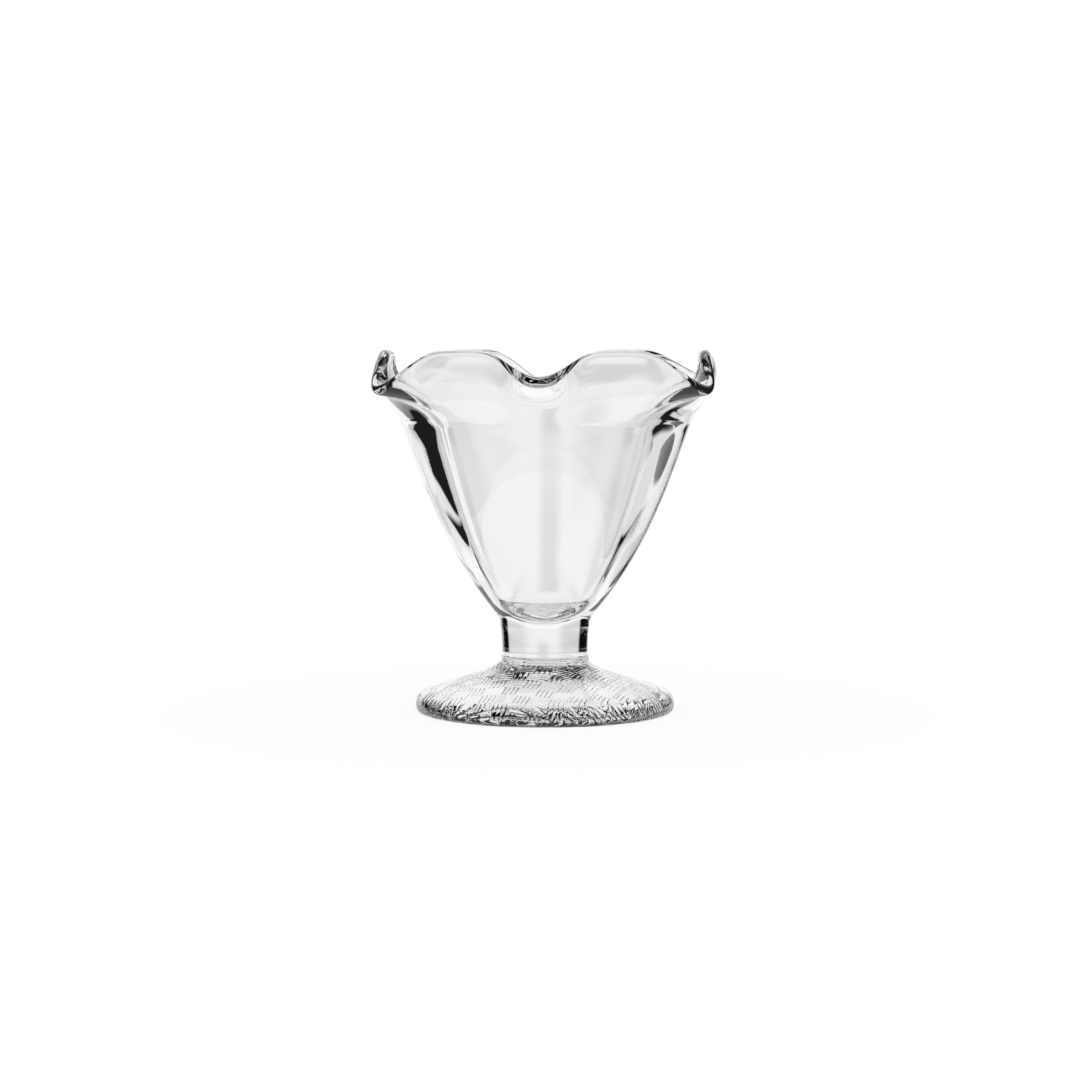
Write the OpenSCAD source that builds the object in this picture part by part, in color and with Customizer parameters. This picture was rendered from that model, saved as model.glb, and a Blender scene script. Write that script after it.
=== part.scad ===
// Parfait glass of clear pressed glass: a three-lobed bowl with a ruffled lip, on a short solid stem
// and a round foot that is hollow underneath. Millimetres, +Z up. The origin is on the table plane,
// under the middle of the glass, and the middle of one petal faces -Y.

/* [Foot] */
// Diameter of the foot
foot_d = 80.4; // [72:0.2:92]
// Height of the foot, from the table to its seam with the stem
foot_h = 17.3; // [15.8:0.1:21]
// Height at which the foot is widest
foot_widest_h = 2.1; // [1.4:0.1:3]
// Height of the foot's slope where its edge starts to round
foot_edge_h = 6.7; // [5.6:0.1:8]
// Width of the foot's rounded edge, seen from above
foot_edge_w = 3.4; // [2.4:0.1:5]
// Diameter of the resting ring, at the middle of its flat
rest_ring_d = 76.2; // [68:0.2:77]
// Width of the flat of the resting ring
rest_ring_w = 1.8; // [1:0.1:2.2]
// Rise of the hollow under the foot, at its middle
hollow_h = 11.4; // [7:0.2:12.4]
// Diameter of the seat ring on which the stem stands
seat_ring_d = 27.3; // [27:0.1:30]
// Height of the seat ring
seat_ring_h = 1.8; // [1:0.1:2.4]
// Radius of the seat ring's upper edge
seat_ring_edge_r = 0.5; // [0.2:0.1:0.8]

/* [Stem] */
// Diameter of the stem at the foot
stem_d = 26.6; // [23:0.2:26.8]
// Diameter of the stem at the bowl
stem_top_d = 27.6; // [26:0.2:29]
// Length of the stem between its two seams
stem_h = 9.5; // [7:0.1:19]

/* [Bowl] */
// Height of the bowl, from its seam with the stem to the crests of the lip
bowl_h = 85.2; // [79:0.2:94]
// Height of the shoulder, where the petal panels end, above the seam with the stem
shoulder_h = 62.2; // [56:0.2:66]
// Radius of the bowl at the shoulder, at the middle of a petal
shoulder_r = 47.2; // [43:0.2:49]
// Rounding of the hollow edge between two petals, on the outside
groove_round = 6; // [5:0.2:8]
// Rounding of the ridge between two petals, on the inside
ridge_round = 16; // [12:0.2:17]
// Thickness of the wall at the shoulder
wall = 5.5; // [5:0.1:6]
// Thickness of the wall at the stem
root_wall = 7; // [6:0.1:7.4]
// Thickness of the solid glass under the cavity
tip_t = 4.6; // [3:0.2:8]
// Height of the cavity's rounded tip
tip_round_h = 6; // [4:0.2:9]

/* [Lip] */
// Thickness of the lip at its edge
edge_t = 3.4; // [2.6:0.1:4.4]
// Radius of the middle of the lip's edge at a crest
crest_r = 49.4; // [46:0.2:52]
// Radius of the middle of the lip's edge at a dip
dip_r = 56; // [53:0.2:59]
// Drop of the lip from its crests to the dip in the middle of a petal
petal_dip_h = 7.6; // [7:0.2:13]
// Drop of the lip from its crests to the dip over a groove
groove_dip_h = 10.2; // [7:0.2:13]

/* [Hidden] */

// Seams between the pieces, and the levels of the bowl
stem_z = foot_h;
bowl_z = stem_z + stem_h;
shoulder_z = bowl_z + shoulder_h;
crest_z = bowl_z + bowl_h;
cavity_z = bowl_z + tip_t;

// Counts of what repeats, and of the steps of the curves
petals = 3;
dips = 6;
full_turn = 360;
half_turn = 180;
quarter_turn = 90;
panel_turn = full_turn / petals;
columns = 12;
body_rows = 16;
lip_rows = 9;
edge_rows = 4;
cap_rows = 5;
round_steps = 96;
curve_steps = 10;
edge_steps = 5;

// How much closer together the columns lie near a groove, and the rows near the stem
column_crowding = 1.35;
row_crowding = 1.15;

// Section of the petals: share of the crown radius by which a petal's arc is off the axis
petal_offset_share = 0.34;
// Body at the middle of a petal: share of the stem's radius with which it starts at the seam, and
// shares of its widening from there to the shoulder
root_radius_share = 0.94;
body_shares = [0, 0.571, 0.772, 1];
petal_root_r = stem_top_d / 2 * root_radius_share;
// Rounding where the petals grow out of the stem
petal_root_round = stem_top_d / 25;

// Directions of the lip in degrees from the vertical, outwards positive: at its edge, and how far it
// breaks outwards from the body's own direction at the shoulder
crest_lean = -46;
dip_lean = 80;
petal_break = 0;
groove_break = 20;
// Shares of the lip's reach that each end of its curve follows these directions
root_pull_share = 0.36;
edge_pull_share = 0.46;
// How much narrower than a plain wave the dips are
petal_dip_narrowing = 2.4;
groove_dip_narrowing = 1.9;

// Foot's slope, edge and hollow: shares of the run and of the rise between the ends of each curve
slope_shares = [[0.13, 0.34], [0.65, 0.72]];
edge_shares = [[0.72, 0.18], [1, 0.55]];
hollow_shares = [[0.06, 0.22], [0.68, 1]];
// Stem's side: shares of its widening and of its length
waist_shares = [[-0.2, 0.35], [0.1, 0.7]];

// Vectors in the plane of a profile, radius first and height second
function lean(a) = [sin(a), cos(a)];
function unit(v) = v / norm(v);
function inward(v) = [-v[1], v[0]];
function mix(a, b, t) = a + (b - a) * t;
function between(a, b, share) = [mix(a[0], b[0], share[0]), mix(a[1], b[1], share[1])];

// Cubic curve with four control points, its direction, and a list of its points
function bez(p, t) =
    pow(1 - t, 3) * p[0] + 3 * t * pow(1 - t, 2) * p[1] + 3 * t * t * (1 - t) * p[2] + pow(t, 3) * p[3];
function bez_dir(p, t) =
    unit(pow(1 - t, 2) * (p[1] - p[0]) + 2 * t * (1 - t) * (p[2] - p[1]) + t * t * (p[3] - p[2]));
function bez_list(a, b, shares, steps) =
    [for (i = [0:steps]) bez([a, between(a, b, shares[0]), between(a, b, shares[1]), b], i / steps)];

// Directions round the bowl, and how far one is from the middle of the nearest petal
function column_turn(i) =
    let (half = floor(i / columns), j = i / columns - half)
    panel_turn / 2 * (half + (half % 2 == 1 ? pow(j, column_crowding) : 1 - pow(1 - j, column_crowding)));
turns = [for (i = [0:2 * petals * columns - 1]) column_turn(i)];
function fold(a) = abs(a - panel_turn * round(a / panel_turn));

// Section of the petals: arcs off the axis that meet in rounded edges
function petal_arc(off, rad, a) = off * cos(a) + sqrt(rad * rad - pow(off * sin(a), 2));
function soft_max(a, b, k) = let (h = max(0, k - abs(a - b)) / k) max(a, b) + h * h * k / 4;
function section_r(crown, a, k) =
    let (off = crown * petal_offset_share, rad = crown - off, m = fold(a))
    soft_max(petal_arc(off, rad, m), petal_arc(off, rad, panel_turn - m), k);

// Body: radius at the middle of a petal, its slope, and the radii of the outside and of the cavity
function crown_r(z) = mix(petal_root_r, shoulder_r, bez(body_shares, (z - bowl_z) / shoulder_h));
function crown_slope(z) = (crown_r(z + wall / 2) - crown_r(z - wall / 2)) / wall;
function body_r(z, a, k) = soft_max(section_r(crown_r(z), a, k), stem_top_d / 2, petal_root_round);
function wall_at(z) = mix(root_wall, wall, (z - bowl_z) / shoulder_h);
function cavity_r(z, a) =
    let (left = max(0, 1 - (z - cavity_z) / tip_round_h))
    (section_r(crown_r(z), a, ridge_round) - wall_at(z) * norm([1, crown_slope(z)])) * sqrt(1 - left * left);

// Lip: one cubic curve in each direction, from the shoulder to its rounded edge
function wave(a) = (1 + cos(dips * a)) / 2;
function over_petal(a) = fold(a) < panel_turn / 4;
function dip(a) = pow(wave(a), over_petal(a) ? petal_dip_narrowing : groove_dip_narrowing);
function edge_dir(a) = lean(mix(crest_lean, dip_lean, dip(a)));
function edge_mid(a) =
    [mix(crest_r, dip_r, dip(a)), crest_z - edge_t / 2 - dip(a) * (over_petal(a) ? petal_dip_h : groove_dip_h)];
function root_dir(a, root_r) =
    lean(atan(crown_slope(shoulder_z) * root_r / shoulder_r) + mix(petal_break, groove_break, 1 - wave(a / 2)));
function lip_curve(a, k) =
    let (root_r = body_r(shoulder_z, a, k), root = [root_r, shoulder_z], end = edge_dir(a))
    let (tip = edge_mid(a) - inward(end) * edge_t / 2, reach = norm(tip - root))
    [root, root + root_dir(a, root_r) * reach * root_pull_share, tip - end * reach * edge_pull_share, tip];
function lip_outside(a, t) = bez(lip_curve(a, groove_round), t);
function lip_inside(a, t) =
    let (curve = lip_curve(a, ridge_round))
    bez(curve, t) + inward(bez_dir(curve, t)) * mix(wall, edge_t, t);
function lip_edge(a, turned) =
    edge_mid(a) + (edge_dir(a) * sin(turned) - inward(edge_dir(a)) * cos(turned)) * edge_t / 2;

// Rings of points from the seam up the outside, over the edge and down into the cavity
function ring(points) =
    [for (i = [0:len(points) - 1]) [points[i][0] * sin(turns[i]), -points[i][0] * cos(turns[i]), points[i][1]]];
cavity_low_z = cavity_z + tip_round_h;
cavity_top_z = shoulder_z - wall;
rings = concat(
    [for (i = [0:body_rows]) let (z = bowl_z + shoulder_h * pow(i / body_rows, row_crowding))
        ring([for (a = turns) [body_r(z, a, groove_round), z]])],
    [for (i = [1:lip_rows]) ring([for (a = turns) lip_outside(a, i / lip_rows)])],
    [for (i = [1:edge_rows - 1]) ring([for (a = turns) lip_edge(a, half_turn * i / edge_rows)])],
    [for (i = [lip_rows:-1:0]) ring([for (a = turns) lip_inside(a, i / lip_rows)])],
    [for (i = [body_rows - 1:-1:0]) let (z = mix(cavity_low_z, cavity_top_z, i / (body_rows - 1)))
        ring([for (a = turns) [cavity_r(z, a), z]])],
    [for (i = [1:cap_rows - 1]) let (z = cavity_low_z - tip_round_h * sin(quarter_turn * i / cap_rows))
        ring([for (a = turns) [cavity_r(z, a), z]])]
);

// Closed skin over rings of points, with a middle point at each end
module skin(rings, first, last) {
    n = len(rings[0]);
    end = 1 + (len(rings) - 1) * n;
    points = concat([first], [for (r = rings) each r], [last]);
    faces = concat(
        [for (i = [0:n - 1]) [0, 1 + i, 1 + (i + 1) % n]],
        [for (j = [1:n:end - n]) for (i = [0:n - 1]) let (s = (i + 1) % n)
            each [[j + i, j + n + i, j + n + s], [j + i, j + n + s, j + s]]],
        [for (i = [0:n - 1]) [end + i, end + n, end + (i + 1) % n]]
    );
    polyhedron(points, faces);
}

module bowl() {
    color([0.93, 0.95, 0.96, 0.6])
        skin(rings, [0, 0, bowl_z], [0, 0, cavity_z]);
}

module stem() {
    side = bez_list([stem_d / 2, stem_z], [stem_top_d / 2, bowl_z], waist_shares, curve_steps);
    color([0.86, 0.89, 0.92, 0.6])
        rotate_extrude($fn = round_steps)
            polygon(concat([[0, stem_z]], side, [[0, bowl_z]]));
}

module foot() {
    foot_r = foot_d / 2;
    seat_r = seat_ring_d / 2;
    seat_foot = [seat_r, foot_h - seat_ring_h];
    seat_edge = [seat_r - seat_ring_edge_r, foot_h - seat_ring_edge_r];
    edge_top = [foot_r - foot_edge_w, foot_edge_h];
    widest = [foot_r, foot_widest_h];
    rest_out = [(rest_ring_d + rest_ring_w) / 2, 0];
    rest_in = [(rest_ring_d - rest_ring_w) / 2, 0];
    seat_rounding = [for (i = [0:edge_steps]) seat_edge + seat_ring_edge_r * lean(quarter_turn * i / edge_steps)];
    slope = bez_list(seat_foot, edge_top, slope_shares, curve_steps);
    edge = bez_list(edge_top, widest, edge_shares, edge_steps);
    under_edge = [for (i = [1:edge_steps]) let (a = quarter_turn * i / edge_steps)
        [mix(rest_out[0], widest[0], cos(a)), mix(widest[1], 0, sin(a))]];
    hollow = bez_list(rest_in, [0, hollow_h], hollow_shares, curve_steps);
    color([0.90, 0.93, 0.95, 0.6])
        rotate_extrude($fn = round_steps)
            polygon(concat([[0, foot_h]], seat_rounding, slope, edge, under_edge, hollow));
}

bowl();
stem();
foot();
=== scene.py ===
import logging
import math
from dataclasses import dataclass, field
from enum import Enum

import bpy
import numpy as np
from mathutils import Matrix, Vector


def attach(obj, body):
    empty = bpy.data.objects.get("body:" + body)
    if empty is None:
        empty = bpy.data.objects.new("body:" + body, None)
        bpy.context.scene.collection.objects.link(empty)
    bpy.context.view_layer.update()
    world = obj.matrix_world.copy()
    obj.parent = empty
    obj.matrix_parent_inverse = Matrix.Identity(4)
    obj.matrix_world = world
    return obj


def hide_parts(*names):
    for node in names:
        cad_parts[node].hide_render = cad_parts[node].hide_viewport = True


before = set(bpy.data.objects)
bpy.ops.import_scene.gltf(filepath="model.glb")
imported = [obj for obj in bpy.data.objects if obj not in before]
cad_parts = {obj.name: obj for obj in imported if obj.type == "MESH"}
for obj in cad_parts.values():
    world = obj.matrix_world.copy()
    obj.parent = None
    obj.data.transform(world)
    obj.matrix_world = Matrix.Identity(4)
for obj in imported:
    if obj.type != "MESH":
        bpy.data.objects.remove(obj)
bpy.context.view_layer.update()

log = logging.getLogger("parfait_glass")
MM = 0.001
BODY = "root"
FULL_TURN = 360
HALF_TURN = 180
QUARTER_TURN = 90
SAME_POINT = 1e-7
SAME_LEVEL = 1e-6
NEAR_SEAM = 1e-5
CREASE_ANGLE = 30
ALL_MIRRORINGS = 99

Values = float | np.ndarray
Point = tuple[float, float]
Colour = tuple[float, float, float, float]


class Finish(Enum):
    """The finishes of the faces: the bowl's glass, a fused seam, the thick stem and the woven foot."""

    SURFACE = 0
    SEAM = 1
    THICK = 2
    WOVEN = 3


def mix(low: Values, high: Values, share: Values) -> Values:
    """Returns the value at a share of the way from low to high."""
    return low + (high - low) * share


def lean(degrees: Values) -> np.ndarray:
    """Returns unit vectors, radius first and height second, at angles from the vertical."""
    turned = np.radians(degrees)
    return np.stack([np.sin(turned), np.cos(turned)], axis=-1)


def inward(vectors: np.ndarray) -> np.ndarray:
    """Returns profile vectors turned a quarter turn, from the outside towards the inside."""
    return np.stack([-vectors[..., 1], vectors[..., 0]], axis=-1)


def cubic(points: list[Values], share: Values) -> Values:
    """Follows a cubic curve.

    Args:
        points: Its four control points, each a number or an array.
        share: Where on the curve, from 0 to 1.

    Returns:
        The points of the curve there.
    """
    rest = 1 - share
    return (
        rest**3 * points[0]
        + 3 * share * rest**2 * points[1]
        + 3 * share**2 * rest * points[2]
        + share**3 * points[3]
    )


def cubic_direction(points: list[np.ndarray], share: Values) -> np.ndarray:
    """Works out which way a cubic curve runs.

    Args:
        points: Its four control points.
        share: Where on the curve, from 0 to 1.

    Returns:
        The unit direction of the curve there.
    """
    rest = 1 - share
    slope = (
        rest**2 * (points[1] - points[0])
        + 2 * share * rest * (points[2] - points[1])
        + share**2 * (points[3] - points[2])
    )
    return slope / np.linalg.norm(slope, axis=-1, keepdims=True)


def curve_between(start: Point, end: Point, shares: list[Point], steps: int) -> np.ndarray:
    """Draws a cubic curve between two points of a profile.

    Args:
        start: Radius and height of its start.
        end: Radius and height of its end.
        shares: Its two pulls, each as shares of the run and of the rise.
        steps: How many steps it has.

    Returns:
        Its points, one in a row, start and end included.
    """
    low, high = np.array(start, float), np.array(end, float)
    pulls = [mix(low, high, np.array(share)) for share in shares]
    along = np.linspace(0, 1, steps + 1)[:, None]
    return cubic([low, pulls[0], pulls[1], high], along)


def empty_material(name: str) -> bpy.types.Material:
    """Makes a material that has no nodes yet.

    Args:
        name: Its name.

    Returns:
        The material.
    """
    made = bpy.data.materials.new(name)
    made.use_nodes = True
    made.node_tree.nodes.clear()
    return made


@dataclass(frozen=True)
class ClearGlass:
    """Clear, colourless pressed glass, fire polished, with the faint ripple of the mould."""

    name: str = "clear_glass"
    tint: Colour = (0.985, 0.99, 0.99, 1.0)
    ior: float = 1.5
    ripple_size: float = 9 * MM
    ripple_height: float = 0.02 * MM
    ripple_detail: float = 1.5
    ripple_roughness: float = 0.4
    shade: Colour = (0.97, 0.972, 0.975, 1.0)
    mirrorings: int = 4

    def material(self) -> bpy.types.Material:
        """Makes the glass.

        Shadow rays and the floor's rays go straight through it, a little darkened. So does a ray that
        has been mirrored inside as often as mirrorings says, which would otherwise end in black.

        Returns:
            The material.
        """
        made = empty_material(self.name)
        nodes, links = made.node_tree.nodes, made.node_tree.links
        place = nodes.new("ShaderNodeTexCoord")
        ripple = nodes.new("ShaderNodeTexNoise")
        ripple.inputs["Scale"].default_value = 1 / self.ripple_size
        ripple.inputs["Detail"].default_value = self.ripple_detail
        ripple.inputs["Roughness"].default_value = self.ripple_roughness
        bump = nodes.new("ShaderNodeBump")
        bump.inputs["Strength"].default_value = 1.0
        bump.inputs["Distance"].default_value = self.ripple_height
        glass = nodes.new("ShaderNodeBsdfPrincipled")
        glass.inputs["Base Color"].default_value = self.tint
        glass.inputs["Roughness"].default_value = 0.0
        glass.inputs["IOR"].default_value = self.ior
        glass.inputs["Transmission Weight"].default_value = 1.0
        shade = nodes.new("ShaderNodeBsdfTransparent")
        shade.inputs["Color"].default_value = self.shade
        path = nodes.new("ShaderNodeLightPath")
        from_floor = nodes.new("ShaderNodeMath")
        from_floor.operation = "MAXIMUM"
        deep = nodes.new("ShaderNodeMath")
        deep.operation = "GREATER_THAN"
        deep.inputs[1].default_value = self.mirrorings - 0.5
        straight = nodes.new("ShaderNodeMath")
        straight.operation = "MAXIMUM"
        choice = nodes.new("ShaderNodeMixShader")
        out = nodes.new("ShaderNodeOutputMaterial")
        links.new(place.outputs["Object"], ripple.inputs["Vector"])
        links.new(ripple.outputs["Fac"], bump.inputs["Height"])
        links.new(bump.outputs["Normal"], glass.inputs["Normal"])
        links.new(path.outputs["Is Shadow Ray"], from_floor.inputs[0])
        links.new(path.outputs["Is Diffuse Ray"], from_floor.inputs[1])
        links.new(path.outputs["Glossy Depth"], deep.inputs[0])
        links.new(from_floor.outputs["Value"], straight.inputs[0])
        links.new(deep.outputs["Value"], straight.inputs[1])
        links.new(straight.outputs["Value"], choice.inputs["Fac"])
        links.new(glass.outputs["BSDF"], choice.inputs[1])
        links.new(shade.outputs["BSDF"], choice.inputs[2])
        links.new(choice.outputs["Shader"], out.inputs["Surface"])
        return made


@dataclass(frozen=True)
class FusedSeam:
    """The seam inside the glass where two pieces are fused, at which light doesn't bend."""

    name: str = "fused_seam"

    def material(self) -> bpy.types.Material:
        """Makes the seam.

        Returns:
            A material that light passes straight through.
        """
        made = empty_material(self.name)
        nodes, links = made.node_tree.nodes, made.node_tree.links
        clear = nodes.new("ShaderNodeBsdfTransparent")
        out = nodes.new("ShaderNodeOutputMaterial")
        links.new(clear.outputs["BSDF"], out.inputs["Surface"])
        return made


class Glasswork:
    """What the pieces of the glass have in common: their finishes and how they are finished."""

    def __init__(self) -> None:
        """Makes the finishes once, for all the pieces."""
        self.finishes = {
            Finish.SURFACE: ClearGlass().material(),
            Finish.SEAM: FusedSeam().material(),
            Finish.THICK: ClearGlass(
                "thick_glass", tint=(0.91, 0.915, 0.915, 1.0), mirrorings=ALL_MIRRORINGS
            ).material(),
            Finish.WOVEN: ClearGlass("woven_glass", mirrorings=ALL_MIRRORINGS).material(),
        }

    def dress(
        self, piece: bpy.types.Object, seams: list[float], node: str, finish: Finish = Finish.SURFACE
    ) -> bpy.types.Object:
        """Gives a piece its finishes and its place in the frame.

        Args:
            piece: The modelled piece.
            seams: Heights of the flat seams at which it is fused to a neighbour.
            node: The CAD node that it stands for.
            finish: The finish of its other faces.

        Returns:
            The same piece.
        """
        for each in Finish:
            piece.data.materials.append(self.finishes[each])
        for face in piece.data.polygons:
            heights = [piece.data.vertices[v].co.z for v in face.vertices]
            flat = max(heights) - min(heights) < SAME_LEVEL
            seam = flat and any(abs(heights[0] - height) < NEAR_SEAM for height in seams)
            face.material_index = (Finish.SEAM if seam else finish).value
        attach(piece, BODY)
        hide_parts(node)
        return piece


def pick(piece: bpy.types.Object) -> None:
    """Selects a piece and nothing else, and makes it the active one.

    Args:
        piece: The piece to work on.
    """
    bpy.ops.object.select_all(action="DESELECT")
    piece.select_set(True)
    bpy.context.view_layer.objects.active = piece


def close_up(piece: bpy.types.Object) -> None:
    """Merges doubled points of a piece and turns its faces outwards.

    Args:
        piece: The piece, which is the active one; not used, as the work is done on the active piece.
    """
    bpy.ops.object.mode_set(mode="EDIT")
    bpy.ops.mesh.select_all(action="SELECT")
    bpy.ops.mesh.remove_doubles(threshold=SAME_POINT)
    bpy.ops.mesh.normals_make_consistent(inside=False)
    bpy.ops.object.mode_set(mode="OBJECT")


def delete_where(piece: bpy.types.Object, chosen: np.ndarray) -> None:
    """Deletes points of a piece.

    Args:
        piece: The piece.
        chosen: For each of its points, whether it goes.
    """
    pick(piece)
    bpy.ops.object.mode_set(mode="EDIT")
    bpy.ops.mesh.select_all(action="DESELECT")
    bpy.ops.object.mode_set(mode="OBJECT")
    piece.data.vertices.foreach_set("select", chosen)
    bpy.ops.object.mode_set(mode="EDIT")
    bpy.ops.mesh.delete(type="VERT")
    bpy.ops.object.mode_set(mode="OBJECT")


def smooth(piece: bpy.types.Object) -> None:
    """Shades a piece smooth, but for its sharp edges."""
    pick(piece)
    bpy.ops.object.shade_smooth_by_angle(angle=math.radians(CREASE_ANGLE))


def turn_on_lathe(name: str, profile: np.ndarray, steps: int) -> bpy.types.Object:
    """Turns a profile round the Z axis, as on a lathe.

    Args:
        name: Name of the new piece.
        profile: Radius and height of its points, in metres.
        steps: How many steps a full turn has.

    Returns:
        The turned piece, with its faces outwards.
    """
    bpy.ops.object.select_all(action="DESELECT")
    bpy.ops.mesh.primitive_plane_add(size=MM, location=(profile[0][0], 0, profile[0][1]))
    piece = bpy.context.object
    piece.name = piece.data.name = name
    bpy.ops.object.transform_apply(location=True)
    bpy.ops.object.mode_set(mode="EDIT")
    bpy.ops.mesh.select_all(action="SELECT")
    bpy.ops.mesh.merge(type="CENTER")
    for run, rise in np.diff(profile, axis=0):
        bpy.ops.mesh.extrude_region_move(TRANSFORM_OT_translate={"value": (run, 0, rise)})
    bpy.ops.mesh.select_all(action="SELECT")
    bpy.ops.mesh.spin(steps=steps, angle=2 * math.pi, center=(0, 0, 0), axis=(0, 0, 1))
    bpy.ops.object.mode_set(mode="OBJECT")
    close_up(piece)
    return piece


def join_rims(piece: bpy.types.Object, sheet: bpy.types.Object) -> None:
    """Joins a sheet into a piece and closes the gap between their open rims.

    Args:
        piece: The piece with an open rim.
        sheet: The sheet that closes it, which becomes a part of the piece.
    """
    pick(piece)
    sheet.select_set(True)
    bpy.ops.object.join()
    bpy.ops.object.mode_set(mode="EDIT")
    bpy.ops.mesh.select_all(action="DESELECT")
    bpy.ops.mesh.select_mode(type="EDGE")
    bpy.ops.mesh.select_non_manifold(extend=False)
    bpy.ops.mesh.bridge_edge_loops()
    bpy.ops.mesh.select_mode(type="VERT")
    bpy.ops.object.mode_set(mode="OBJECT")
    close_up(piece)


@dataclass
class Foot:
    """The round foot: a low cone with a rounded edge, a seat ring on top and a hollow underneath."""

    diameter: float = 80.4 * MM
    height: float = 17.3 * MM
    widest_height: float = 2.1 * MM
    edge_height: float = 6.7 * MM
    edge_width: float = 3.4 * MM
    rest_diameter: float = 76.2 * MM
    rest_width: float = 1.8 * MM
    hollow_height: float = 11.4 * MM
    weave_block: float = 5.3 * MM
    weave_ribs: int = 4
    weave_depth: float = 0.25 * MM
    weave_turn: float = -17
    weave_diameter: float = 70 * MM
    weave_fade: float = 2 * MM
    weave_gap: float = 0.25 * MM
    weave_flatness: float = 0.12
    weave_fading: float = 0.3
    weave_steps: int = 16
    weave_flank: float = 0.25
    weave_steep_flank: float = 0.1
    seat_diameter: float = 27.3 * MM
    seat_height: float = 1.8 * MM
    seat_rounding: float = 0.5 * MM
    slope_shares: list[Point] = field(default_factory=lambda: [(0.13, 0.34), (0.65, 0.72)])
    edge_shares: list[Point] = field(default_factory=lambda: [(0.72, 0.18), (1, 0.55)])
    hollow_shares: list[Point] = field(default_factory=lambda: [(0.06, 0.22), (0.68, 1)])
    seat_steps: int = 6
    slope_steps: int = 36
    edge_steps: int = 16
    under_steps: int = 8
    hollow_steps: int = 60
    fine_hollow_steps: int = 600
    steps: int = 192

    def hollow(self, steps: int) -> np.ndarray:
        """Draws the hollow's profile.

        Args:
            steps: How many steps it has.

        Returns:
            Radius and height of its points, from the resting ring to its top.
        """
        rest_inside = (self.rest_diameter - self.rest_width) / 2
        return curve_between((rest_inside, 0), (0, self.hollow_height), self.hollow_shares, steps)

    def profile(self) -> np.ndarray:
        """Draws the foot's profile.

        Returns:
            Radius and height of its points, from its seam over the edge to the rim of the weave.
        """
        radius, seat = self.diameter / 2, self.seat_diameter / 2
        rounding = np.array([seat - self.seat_rounding, self.height - self.seat_rounding])
        seat_edge = rounding + self.seat_rounding * lean(np.linspace(0, QUARTER_TURN, self.seat_steps + 1))
        seat_foot = (seat, self.height - self.seat_height)
        edge_top = (radius - self.edge_width, self.edge_height)
        slope = curve_between(seat_foot, edge_top, self.slope_shares, self.slope_steps)
        edge = curve_between(edge_top, (radius, self.widest_height), self.edge_shares, self.edge_steps)
        rest_outside = (self.rest_diameter + self.rest_width) / 2
        turned = lean(QUARTER_TURN - np.linspace(0, QUARTER_TURN, self.under_steps + 1))
        under_radius = rest_outside + (radius - rest_outside) * turned[:, 0]
        under = np.stack([under_radius, self.widest_height * (1 - turned[:, 1])], axis=-1)
        hollow = self.hollow(self.hollow_steps)
        hollow = hollow[hollow[:, 0] > self.weave_diameter / 2 + self.weave_gap]
        return np.concatenate([[(0, self.height)], seat_edge, slope, edge[1:], under[1:], hollow])

    def weave(self, across: np.ndarray, along: np.ndarray) -> np.ndarray:
        """Works out the basket weave: blocks of ribs that lie crosswise to those of the next block.

        Args:
            across: Places on the weave's first axis, in blocks.
            along: Places on its second axis, in blocks.

        Returns:
            How far the ribs rise there, from 0 in the grooves to 1 on top.
        """
        turned = (np.floor(across) + np.floor(along)) % 2 < 1
        over, beside = np.where(turned, across, along), np.where(turned, along, across)
        groove = 1 - np.abs(np.cos(np.pi * self.weave_ribs * over)) ** self.weave_flatness
        return 1 - groove * np.abs(np.sin(np.pi * beside)) ** self.weave_fading

    def woven(self) -> bpy.types.Object:
        """Models the hollow's surface with the weave that is pressed into it.

        Returns:
            A round sheet.
        """
        radius = self.weave_diameter / 2
        blocks = 2 * math.ceil(radius / self.weave_block)
        columns = blocks * self.weave_steps
        bpy.ops.object.select_all(action="DESELECT")
        bpy.ops.mesh.primitive_grid_add(x_subdivisions=columns, y_subdivisions=columns, size=blocks)
        sheet = bpy.context.object
        flat = np.zeros(len(sheet.data.vertices) * 3)
        sheet.data.vertices.foreach_get("co", flat)
        place = np.rint(flat.reshape(-1, 3)[:, :2] * self.weave_steps) / self.weave_steps
        rib_share = place * self.weave_ribs % 1
        steeper = (self.weave_flank - self.weave_steep_flank) / self.weave_ribs
        place = place + steeper * np.isclose(rib_share, self.weave_flank)
        place = place - steeper * np.isclose(rib_share, 1 - self.weave_flank)
        relief = 1 - self.weave(place[:, 0], place[:, 1])
        turned = math.radians(self.weave_turn)
        along, across = (place * self.weave_block).T
        spot = np.stack(
            [
                along * math.cos(turned) - across * math.sin(turned),
                along * math.sin(turned) + across * math.cos(turned),
            ],
            axis=-1,
        )
        off = np.hypot(spot[:, 0], spot[:, 1])
        inner = self.hollow(self.fine_hollow_steps)[::-1]
        fading = np.clip((radius - off) / self.weave_fade, 0, 1)
        rise = np.interp(off, inner[:, 0], inner[:, 1]) + self.weave_depth * relief * fading
        sheet.data.vertices.foreach_set("co", np.column_stack([spot, rise]).ravel())
        sheet.data.update()
        delete_where(sheet, off > radius)
        return sheet

    def build(self, glasswork: Glasswork) -> bpy.types.Object:
        """Models the foot and dresses it.

        Args:
            glasswork: The finishes of the glass.

        Returns:
            The foot.
        """
        sheet = self.woven()
        piece = turn_on_lathe("foot_glass", self.profile(), self.steps)
        join_rims(piece, sheet)
        smooth(piece)
        return glasswork.dress(piece, [self.height], "foot", Finish.WOVEN)


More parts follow.
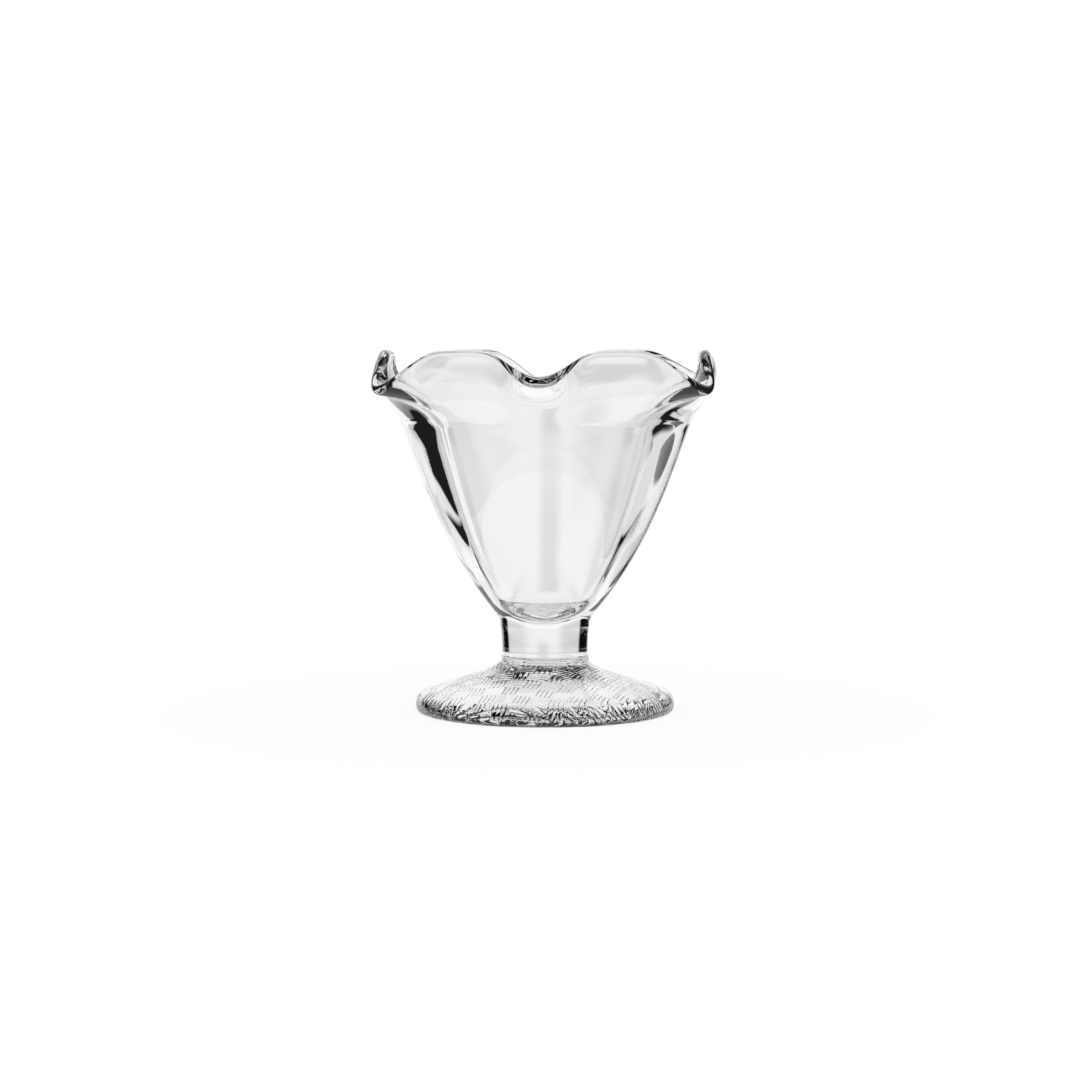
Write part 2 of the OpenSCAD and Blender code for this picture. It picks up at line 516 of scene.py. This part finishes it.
@dataclass
class Stem:
    """The short solid stem, drawn in a little above the foot."""

    base: float = 17.3 * MM
    height: float = 9.5 * MM
    diameter: float = 26.6 * MM
    top_diameter: float = 27.6 * MM
    waist_shares: list[Point] = field(default_factory=lambda: [(-0.2, 0.35), (0.1, 0.7)])
    side_steps: int = 24
    steps: int = 192

    def build(self, glasswork: Glasswork) -> bpy.types.Object:
        """Models the stem and dresses it.

        Args:
            glasswork: The finishes of the glass.

        Returns:
            The stem.
        """
        top = self.base + self.height
        low, high = (self.diameter / 2, self.base), (self.top_diameter / 2, top)
        side = curve_between(low, high, self.waist_shares, self.side_steps)
        profile = np.concatenate([[(0, self.base)], side, [(0, top)]])
        piece = turn_on_lathe("stem_glass", profile, self.steps)
        smooth(piece)
        return glasswork.dress(piece, [self.base, top], "stem", Finish.THICK)


@dataclass
class Bowl:
    """The bowl: three petals with rounded grooves between them, a shoulder and a ruffled lip."""

    base: float = 26.8 * MM
    height: float = 85.2 * MM
    shoulder_height: float = 62.2 * MM
    shoulder_radius: float = 47.2 * MM
    stem_diameter: float = 27.6 * MM
    groove_round: float = 6 * MM
    ridge_round: float = 16 * MM
    wall: float = 5.5 * MM
    root_wall: float = 7 * MM
    edge: float = 3.4 * MM
    tip: float = 4.6 * MM
    tip_rise: float = 6 * MM
    crest_radius: float = 49.4 * MM
    dip_radius: float = 56 * MM
    petal_dip: float = 7.6 * MM
    groove_dip: float = 10.2 * MM
    petal_offset_share: float = 0.34
    root_radius_share: float = 0.94
    root_round: float = 1.104 * MM
    body_shares: list[float] = field(default_factory=lambda: [0.0, 0.571, 0.772, 1.0])
    crest_lean: float = -34
    dip_lean: float = 80
    petal_break: float = 0
    groove_break: float = 20
    root_pull_share: float = 0.36
    edge_pull_share: float = 0.46
    petal_dip_narrowing: float = 2.4
    groove_dip_narrowing: float = 1.9
    petals: int = 3
    body_steps: int = 56
    body_crowding: float = 1.1
    lip_steps: int = 40
    edge_steps: int = 12
    cavity_steps: int = 48
    tip_steps: int = 14
    columns: int = 288

    def __post_init__(self) -> None:
        """Works out the levels and the directions of the bowl's columns."""
        self.shoulder = self.base + self.shoulder_height
        self.crest = self.base + self.height
        self.cavity = self.base + self.tip
        self.panel_turn = FULL_TURN / self.petals
        self.turns = np.linspace(0, FULL_TURN, self.columns + 1)

    def fold(self, turns: np.ndarray) -> np.ndarray:
        """Returns how far directions are from the middle of the nearest petal, in degrees."""
        return np.abs(turns - self.panel_turn * np.round(turns / self.panel_turn))

    def crown(self, heights: Values) -> Values:
        """Returns the body's radius at the middle of a petal."""
        widening = cubic(self.body_shares, (heights - self.base) / self.shoulder_height)
        return mix(self.stem_diameter / 2 * self.root_radius_share, self.shoulder_radius, widening)

    def crown_slope(self, heights: Values) -> Values:
        """Returns how fast the body's radius grows with its height."""
        step = self.wall / 2
        return (self.crown(heights + step) - self.crown(heights - step)) / (2 * step)

    @staticmethod
    def soft_max(one: Values, other: Values, rounding: float) -> Values:
        """Returns the larger of two radii, blended where they are within rounding of each other."""
        near = np.maximum(0, rounding - np.abs(one - other)) / rounding
        return np.maximum(one, other) + near**2 * rounding / 4

    def section(self, crown: np.ndarray, turns: np.ndarray, rounding: float) -> np.ndarray:
        """Draws the lobed section of the body.

        Args:
            crown: Radius at the middle of a petal.
            turns: Directions in degrees.
            rounding: Rounding of the edges between the petals.

        Returns:
            The radii of the section in those directions.
        """
        offset = crown * self.petal_offset_share
        radius = crown - offset
        near = np.radians(self.fold(turns))
        far = np.radians(self.panel_turn) - near
        arcs = [offset * np.cos(a) + np.sqrt(radius**2 - (offset * np.sin(a)) ** 2) for a in (near, far)]
        return self.soft_max(arcs[0], arcs[1], rounding)

    def outside(self, heights: np.ndarray, turns: np.ndarray, rounding: float) -> np.ndarray:
        """Works out the body's outside.

        Args:
            heights: Heights of the points.
            turns: Their directions in degrees.
            rounding: Rounding of the edges between the petals.

        Returns:
            The radii of the outside there, which is never within the end of the stem.
        """
        petals = self.section(self.crown(heights), turns, rounding)
        return self.soft_max(petals, self.stem_diameter / 2, self.root_round)

    def inside(self, heights: np.ndarray, turns: np.ndarray) -> np.ndarray:
        """Works out the cavity.

        Args:
            heights: Heights of the points.
            turns: Their directions in degrees.

        Returns:
            The radii of the cavity there.
        """
        share = (heights - self.base) / self.shoulder_height
        slanted = mix(self.root_wall, self.wall, share) * np.sqrt(1 + self.crown_slope(heights) ** 2)
        left = np.clip(1 - (heights - self.cavity) / self.tip_rise, 0, 1)
        return (self.section(self.crown(heights), turns, self.ridge_round) - slanted) * np.sqrt(1 - left**2)

    def dips(self, turns: np.ndarray) -> tuple[np.ndarray, np.ndarray]:
        """Works out the lip's dips.

        Args:
            turns: Directions in degrees.

        Returns:
            How deep in a dip the lip is there, from 0 to 1, and whether that dip is over a petal.
        """
        wave = (1 + np.cos(np.radians(2 * self.petals * turns))) / 2
        over_petal = self.fold(turns) < self.panel_turn / 4
        narrowing = np.where(over_petal, self.petal_dip_narrowing, self.groove_dip_narrowing)
        return wave**narrowing, over_petal

    def lip_curves(
        self, turns: np.ndarray, rounding: float
    ) -> tuple[list[np.ndarray], np.ndarray, np.ndarray]:
        """Draws the lip's profile in each direction.

        Args:
            turns: Directions in degrees.
            rounding: Rounding of the edges between the petals, at the shoulder.

        Returns:
            The control points of the profiles, the middles of the lip's edge and the edge's directions.
        """
        dip, over_petal = self.dips(turns)
        end = lean(mix(self.crest_lean, self.dip_lean, dip))
        drop = dip * np.where(over_petal, self.petal_dip, self.groove_dip)
        edge_radius = mix(self.crest_radius, self.dip_radius, dip)
        middle = np.stack([edge_radius, self.crest - self.edge / 2 - drop], axis=-1)
        shoulder = np.full_like(turns, self.shoulder)
        root_radius = self.outside(shoulder, turns, rounding)
        root = np.stack([root_radius, shoulder], axis=-1)
        slope = np.degrees(np.arctan(self.crown_slope(self.shoulder) * root_radius / self.shoulder_radius))
        half_wave = (1 + np.cos(np.radians(self.petals * turns))) / 2
        start = lean(slope + mix(self.petal_break, self.groove_break, 1 - half_wave))
        tip = middle - inward(end) * self.edge / 2
        reach = np.linalg.norm(tip - root, axis=-1, keepdims=True)
        root_pull = root + start * reach * self.root_pull_share
        edge_pull = tip - end * reach * self.edge_pull_share
        return [root, root_pull, edge_pull, tip], middle, end

    def rows(self) -> np.ndarray:
        """Works out the bowl's skin, row by row.

        Returns:
            Radius and height of each point, by row and column, from the middle of the seam up the
            outside, over the lip's edge and down to the bottom of the cavity.
        """
        turns = self.turns
        made = [np.stack([np.zeros_like(turns), np.full_like(turns, self.base)], axis=-1)]
        for share in np.linspace(0, 1, self.body_steps + 1) ** self.body_crowding:
            heights = np.full_like(turns, self.base + self.shoulder_height * share)
            made.append(np.stack([self.outside(heights, turns, self.groove_round), heights], axis=-1))
        outer, middle, end = self.lip_curves(turns, self.groove_round)
        made += [cubic(outer, share) for share in np.linspace(0, 1, self.lip_steps + 1)[1:]]
        for turned in np.radians(np.linspace(0, HALF_TURN, self.edge_steps + 1)[1:-1]):
            made.append(middle + (end * np.sin(turned) - inward(end) * np.cos(turned)) * self.edge / 2)
        inner, _, _ = self.lip_curves(turns, self.ridge_round)
        for share in np.linspace(1, 0, self.lip_steps + 1):
            thick = mix(self.wall, self.edge, share)
            made.append(cubic(inner, share) + inward(cubic_direction(inner, share)) * thick)
        low, high = self.cavity + self.tip_rise, self.shoulder - self.wall
        for height in np.linspace(high, low, self.cavity_steps + 1):
            heights = np.full_like(turns, height)
            made.append(np.stack([self.inside(heights, turns), heights], axis=-1))
        for turned in np.radians(np.linspace(0, QUARTER_TURN, self.tip_steps + 1)[1:]):
            heights = np.full_like(turns, low - self.tip_rise * math.sin(turned))
            made.append(np.stack([self.inside(heights, turns), heights], axis=-1))
        return np.stack(made)

    def build(self, glasswork: Glasswork) -> bpy.types.Object:
        """Models the bowl and dresses it.

        Args:
            glasswork: The finishes of the glass.

        Returns:
            The bowl.
        """
        rows = self.rows()
        profile = rows[:, 0]
        piece = turn_on_lathe("bowl_glass", profile, self.columns)
        flat = np.zeros(len(piece.data.vertices) * 3)
        piece.data.vertices.foreach_get("co", flat)
        spot = flat.reshape(-1, 3)
        across = np.hypot(spot[:, 0], spot[:, 1])
        row = np.empty(len(spot), int)
        for part in np.array_split(np.arange(len(spot)), self.columns):
            far = np.hypot(across[part, None] - profile[:, 0], spot[part, 2, None] - profile[:, 1])
            row[part] = far.argmin(axis=1)
        turn = np.degrees(np.arctan2(spot[:, 0], -spot[:, 1]))
        column = np.rint(turn * self.columns / FULL_TURN).astype(int) % self.columns
        radius, height = rows[row, column, 0], rows[row, column, 1]
        turned = np.radians(self.turns[column])
        pressed = np.stack([radius * np.sin(turned), -radius * np.cos(turned), height], axis=-1)
        piece.data.vertices.foreach_set("co", pressed.ravel())
        piece.data.update()
        smooth(piece)
        return glasswork.dress(piece, [self.base], "bowl")


@dataclass(frozen=True)
class Board:
    """A board in the studio, as the glass sees it: its middle, its size and its soft edge in degrees."""

    turn: float
    rise: float
    width: float
    height: float
    shade: float
    softness: float


class LightNodes:
    """The nodes of the studio's light, which find its boards by their direction."""

    def __init__(self, tree: bpy.types.NodeTree) -> None:
        """Empties the world's tree and adds the nodes that give a ray's direction.

        Args:
            tree: The world's node tree.
        """
        self.nodes, self.links = tree.nodes, tree.links
        self.nodes.clear()
        place = self.nodes.new("ShaderNodeTexCoord")
        split = self.nodes.new("ShaderNodeSeparateXYZ")
        self.links.new(place.outputs["Generated"], split.inputs["Vector"])
        self.turn = self.reckon("DEGREES", self.reckon("ARCTAN2", split.outputs["Y"], split.outputs["X"]))
        self.rise = self.reckon("DEGREES", self.reckon("ARCSINE", split.outputs["Z"]))

    def reckon(self, operation: str, *values: float | bpy.types.NodeSocket) -> bpy.types.NodeSocket:
        """Adds a math node.

        Args:
            operation: What it does, by its name in Blender.
            values: Its inputs, each a number or another node's output.

        Returns:
            Its output.
        """
        made = self.nodes.new("ShaderNodeMath")
        made.operation = operation
        for socket, value in zip(made.inputs, values):
            if isinstance(value, (int, float)):
                socket.default_value = value
            else:
                self.links.new(value, socket)
        return made.outputs[0]

    def within(self, off: bpy.types.NodeSocket, reach: float, softness: float) -> bpy.types.NodeSocket:
        """Tells what lies near a middle.

        Args:
            off: How far off the middle it is, in degrees.
            reach: How far it may be off.
            softness: Width of the soft edge.

        Returns:
            1 within the reach and 0 outside it, with the soft edge between them.
        """
        made = self.nodes.new("ShaderNodeMapRange")
        made.interpolation_type = "SMOOTHSTEP"
        self.links.new(self.reckon("ABSOLUTE", off), made.inputs["Value"])
        made.inputs["From Min"].default_value = reach - softness / 2
        made.inputs["From Max"].default_value = reach + softness / 2
        made.inputs["To Min"].default_value = 1
        made.inputs["To Max"].default_value = 0
        return made.outputs["Result"]

    def cover(self, board: Board) -> bpy.types.NodeSocket:
        """Finds a board.

        Args:
            board: The board.

        Returns:
            1 where the board is and 0 off it.
        """
        aside = self.reckon("ADD", self.turn, FULL_TURN + HALF_TURN - board.turn)
        aside = self.reckon("SUBTRACT", self.reckon("FLOORED_MODULO", aside, FULL_TURN), HALF_TURN)
        across = self.within(aside, board.width / 2, board.softness)
        along = self.within(self.reckon("SUBTRACT", self.rise, board.rise), board.height / 2, board.softness)
        return self.reckon("MULTIPLY", across, along)

    def shaded(self, boards: tuple[Board, ...]) -> float | bpy.types.NodeSocket:
        """Sets dark boards before a white background.

        Args:
            boards: The boards, each with its own shade.

        Returns:
            How bright it is in a ray's direction.
        """
        light = 1.0
        for board in boards:
            dimmed = self.reckon("MULTIPLY_ADD", self.cover(board), board.shade - 1, 1)
            light = self.reckon("MULTIPLY", dimmed, light)
        return light

    def lit(self, dark: float, lights: tuple[Board, ...]) -> float | bpy.types.NodeSocket:
        """Sets light boards before a dark background.

        Args:
            dark: How bright the background is.
            lights: The boards, each with its own shade.

        Returns:
            How bright it is in a ray's direction.
        """
        light = dark
        for board in lights:
            light = self.reckon("MAXIMUM", light, self.reckon("MULTIPLY", self.cover(board), board.shade))
        return light


@dataclass
class Studio:
    """The round table and the light of a plain white studio, with boards off to the sides.

    The glass shows boards where light only bends, lights before gloom where it was mirrored inside, and
    deep_lights before haze where it was mirrored deep_mirrorings times or more.
    """

    table_diameter: float = 240 * MM
    table_steps: int = 96
    table_roughness: float = 0.9
    gloom: float = 0.02
    lights: tuple[Board, ...] = (
        Board(turn=99, rise=9, width=59, height=84, shade=1.0, softness=3),
        Board(turn=32, rise=36, width=36, height=28, shade=1.0, softness=4),
    )
    deep_mirrorings: int = 4
    haze: float = 0.012
    deep_lights: tuple[Board, ...] = (
        Board(turn=4, rise=17, width=40, height=22, shade=0.9, softness=4),
        Board(turn=-20, rise=40, width=52, height=26, shade=0.9, softness=4),
        Board(turn=149, rise=23, width=32, height=34, shade=0.85, softness=4),
    )
    boards: tuple[Board, ...] = (
        Board(turn=14, rise=0, width=64, height=36, shade=0.0, softness=5),
        Board(turn=54, rise=-2, width=40, height=14, shade=0.78, softness=16),
        Board(turn=122, rise=-2, width=32, height=14, shade=0.75, softness=12),
        Board(turn=350, rise=27, width=40, height=36, shade=0.05, softness=8),
        Board(turn=153, rise=-4, width=42, height=22, shade=0.0, softness=5),
        Board(turn=203, rise=30, width=26, height=34, shade=0.1, softness=8),
        Board(turn=188, rise=-42, width=60, height=36, shade=0.05, softness=8),
        Board(turn=90.5, rise=-7.5, width=9, height=7, shade=0.8, softness=6),
        Board(turn=50, rise=-34, width=36, height=20, shade=0.3, softness=6),
        Board(turn=123, rise=-33, width=28, height=20, shade=0.2, softness=6),
        Board(turn=89, rise=-34, width=40, height=20, shade=0.75, softness=6),
    )

    def table(self) -> None:
        """Sets up the plain white round table."""
        bpy.ops.object.select_all(action="DESELECT")
        bpy.ops.mesh.primitive_circle_add(
            vertices=self.table_steps, radius=self.table_diameter / 2, fill_type="NGON", location=(0, 0, 0)
        )
        made = bpy.context.object
        made.name = "table"
        paint = bpy.data.materials.new("table_paint")
        paint.use_nodes = True
        shader = paint.node_tree.nodes["Principled BSDF"]
        shader.inputs["Base Color"].default_value = (1, 1, 1, 1)
        shader.inputs["Roughness"].default_value = self.table_roughness
        shader.inputs["Specular IOR Level"].default_value = 0.0
        made.data.materials.append(paint)

    def world(self) -> None:
        """Lights the studio evenly, white behind the glass, with boards that only the glass shows."""
        world = bpy.data.worlds.new("studio")
        bpy.context.scene.world = world
        world.use_nodes = True
        sky = LightNodes(world.node_tree)
        path = sky.nodes.new("ShaderNodeLightPath")
        light = sky.shaded(self.boards)
        mirrored = sky.lit(self.gloom, self.lights)
        deep = sky.lit(self.haze, self.deep_lights)
        for mirrorings, board_light in ((1, mirrored), (self.deep_mirrorings, deep)):
            bounced = sky.reckon("GREATER_THAN", path.outputs["Glossy Depth"], mirrorings - 0.5)
            light = sky.reckon("MULTIPLY_ADD", bounced, sky.reckon("SUBTRACT", board_light, light), light)
        plain = sky.reckon("MAXIMUM", path.outputs["Is Camera Ray"], path.outputs["Is Diffuse Ray"])
        glow = sky.nodes.new("ShaderNodeBackground")
        glow.inputs["Color"].default_value = (1, 1, 1, 1)
        sky.links.new(sky.reckon("MAXIMUM", plain, light), glow.inputs["Strength"])
        out = sky.nodes.new("ShaderNodeOutputWorld")
        sky.links.new(glow.outputs["Background"], out.inputs["Surface"])


@dataclass
class PhotographView:
    """The camera, where the photograph was taken from."""

    distance: float = 833 * MM
    height: float = 115 * MM
    aim_height: float = 53.1 * MM
    aim_side: float = -1.55 * MM
    lens_pixels: float = 2692.0
    frame_pixels: float = 1080.0
    sensor_width: float = 36.0
    turned: float = 2.0

    def make(self) -> None:
        """Makes the scene's camera and aims it a little beside the glass."""
        data = bpy.data.cameras.new("photograph_view")
        data.sensor_width = self.sensor_width
        data.lens = self.sensor_width * self.lens_pixels / self.frame_pixels
        made = bpy.data.objects.new("photograph_view", data)
        bpy.context.scene.collection.objects.link(made)
        turned = math.radians(self.turned)
        side = Vector((math.cos(turned), math.sin(turned), 0))
        back = Vector((math.sin(turned), -math.cos(turned), 0))
        aim = Vector((0, 0, self.aim_height)) + side * self.aim_side
        made.location = back * self.distance + side * self.aim_side + Vector((0, 0, self.height))
        made.rotation_euler = (aim - made.location).to_track_quat("-Z", "Y").to_euler()
        bpy.context.scene.camera = made


def main() -> None:
    """Builds the glass, the studio and the camera."""
    logging.basicConfig(level=logging.INFO, format="%(name)s: %(message)s")
    glasswork = Glasswork()
    for part in (Foot(), Stem(), Bowl()):
        piece = part.build(glasswork)
        log.info("%s: %d faces", piece.name, len(piece.data.polygons))
    studio = Studio()
    studio.table()
    studio.world()
    PhotographView().make()
    bpy.context.scene.view_settings.view_transform = "Standard"


if __name__ == "__main__":
    main()
